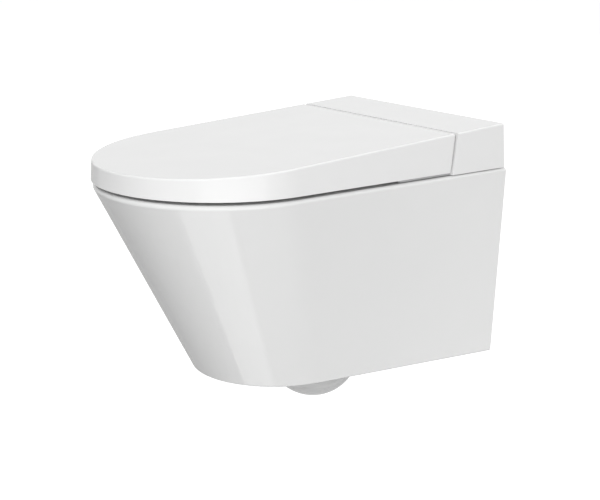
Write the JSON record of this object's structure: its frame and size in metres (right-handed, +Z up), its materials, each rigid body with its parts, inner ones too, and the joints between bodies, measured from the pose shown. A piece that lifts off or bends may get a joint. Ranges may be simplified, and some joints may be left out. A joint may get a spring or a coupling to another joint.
{
  "type": "bidet toilet",
  "caption": "Wall-hung shower toilet: tapered china pan, D-shaped seat and sloping lid on a common hinge, and a rear unit with a sliding spray wand and a side knob.",
  "frame": {"origin": "on the wall plane, midway between the two wall fixing bolts", "axes": "+Y into the wall, so the nose points to -Y; +Z up; +X to the seated user's left, the side in the picture"},
  "size_m": [0.3911, 0.5876, 0.4376],
  "materials": {
    "china": "white glaze",
    "white_plastic": "smooth gloss",
    "grey_plastic": "fine matt",
    "dark_plastic": "matt",
    "rubber": "matt",
    "steel": "brushed",
    "chrome": "polished",
    "brass": "turned",
    "board": "solder mask",
    "silicone": "translucent"
  },
  "bodies": {
    "pan": {"ceramic_pan": "china", "pan_bowl": "china", "pan_trap": "china", "pan_back": "china", "wall_sleeves": "grey_plastic", "base_gasket": "rubber", "base_plate": "grey_plastic", "base_bolts": "steel", "base_bushes": "rubber", "rear_housing": "white_plastic", "housing_screws": "steel", "hinge_brackets": "steel", "hinge_pins": "steel", "wand_guide": "grey_plastic", "wand_motor": "steel", "wand_cover": "white_plastic", "water_heater": "steel", "water_pump": "dark_plastic", "inlet_valve": "dark_plastic", "inlet_fitting": "brass", "power_supply": "dark_plastic", "wand_hose": "silicone", "control_board": "board", "board_screws": "steel", "cable_gland": "dark_plastic", "knob_encoder": "dark_plastic"},
    "seat": {"seat_ring": "white_plastic", "seat_buffers": "rubber"},
    "lid": {"lid": "white_plastic", "lid_buffers": "rubber"},
    "wand": {"spray_wand": "white_plastic", "nozzle_tip": "white_plastic"},
    "pinion": {"drive_pinion": "dark_plastic"},
    "knob": {"control_knob": "chrome"},
    "button": {"knob_button": "white_plastic"}
  },
  "joints": [
    {"name": "seat_hinge", "type": "hinge", "parent": "pan", "child": "seat", "pos_m": [0, -0.1155, 0.135], "axis": [-1, 0, 0], "range_deg": [0, 97]},
    {"name": "lid_hinge", "type": "hinge", "parent": "seat", "child": "lid", "pos_m": [0, -0.1155, 0.135], "axis": [1, 0, 0], "range_deg": [-97, 0]},
    {"name": "wand_slide", "type": "slide", "parent": "pan", "child": "wand", "axis": [0, -0.9511, -0.309], "range_m": [0, 0.104]},
    {"name": "pinion_spin", "type": "hinge", "parent": "pan", "child": "pinion", "pos_m": [0, -0.14123, 0.09612], "axis": [1, 0, 0], "range_deg": [-830, 0]},
    {"name": "knob_turn", "type": "hinge", "parent": "pan", "child": "knob", "pos_m": [-0.19, -0.058, 0.1195], "axis": [-1, 0, 0], "continuous": true},
    {"name": "button_press", "type": "slide", "parent": "knob", "child": "button", "axis": [1, 0, 0], "range_m": [0, 0.0015], "stiffness_N_per_m": 1500}
  ],
  "couplings": [
    {"joint": "pinion_spin", "follows": "wand_slide", "rad_per_m": -138.89}
  ]
}
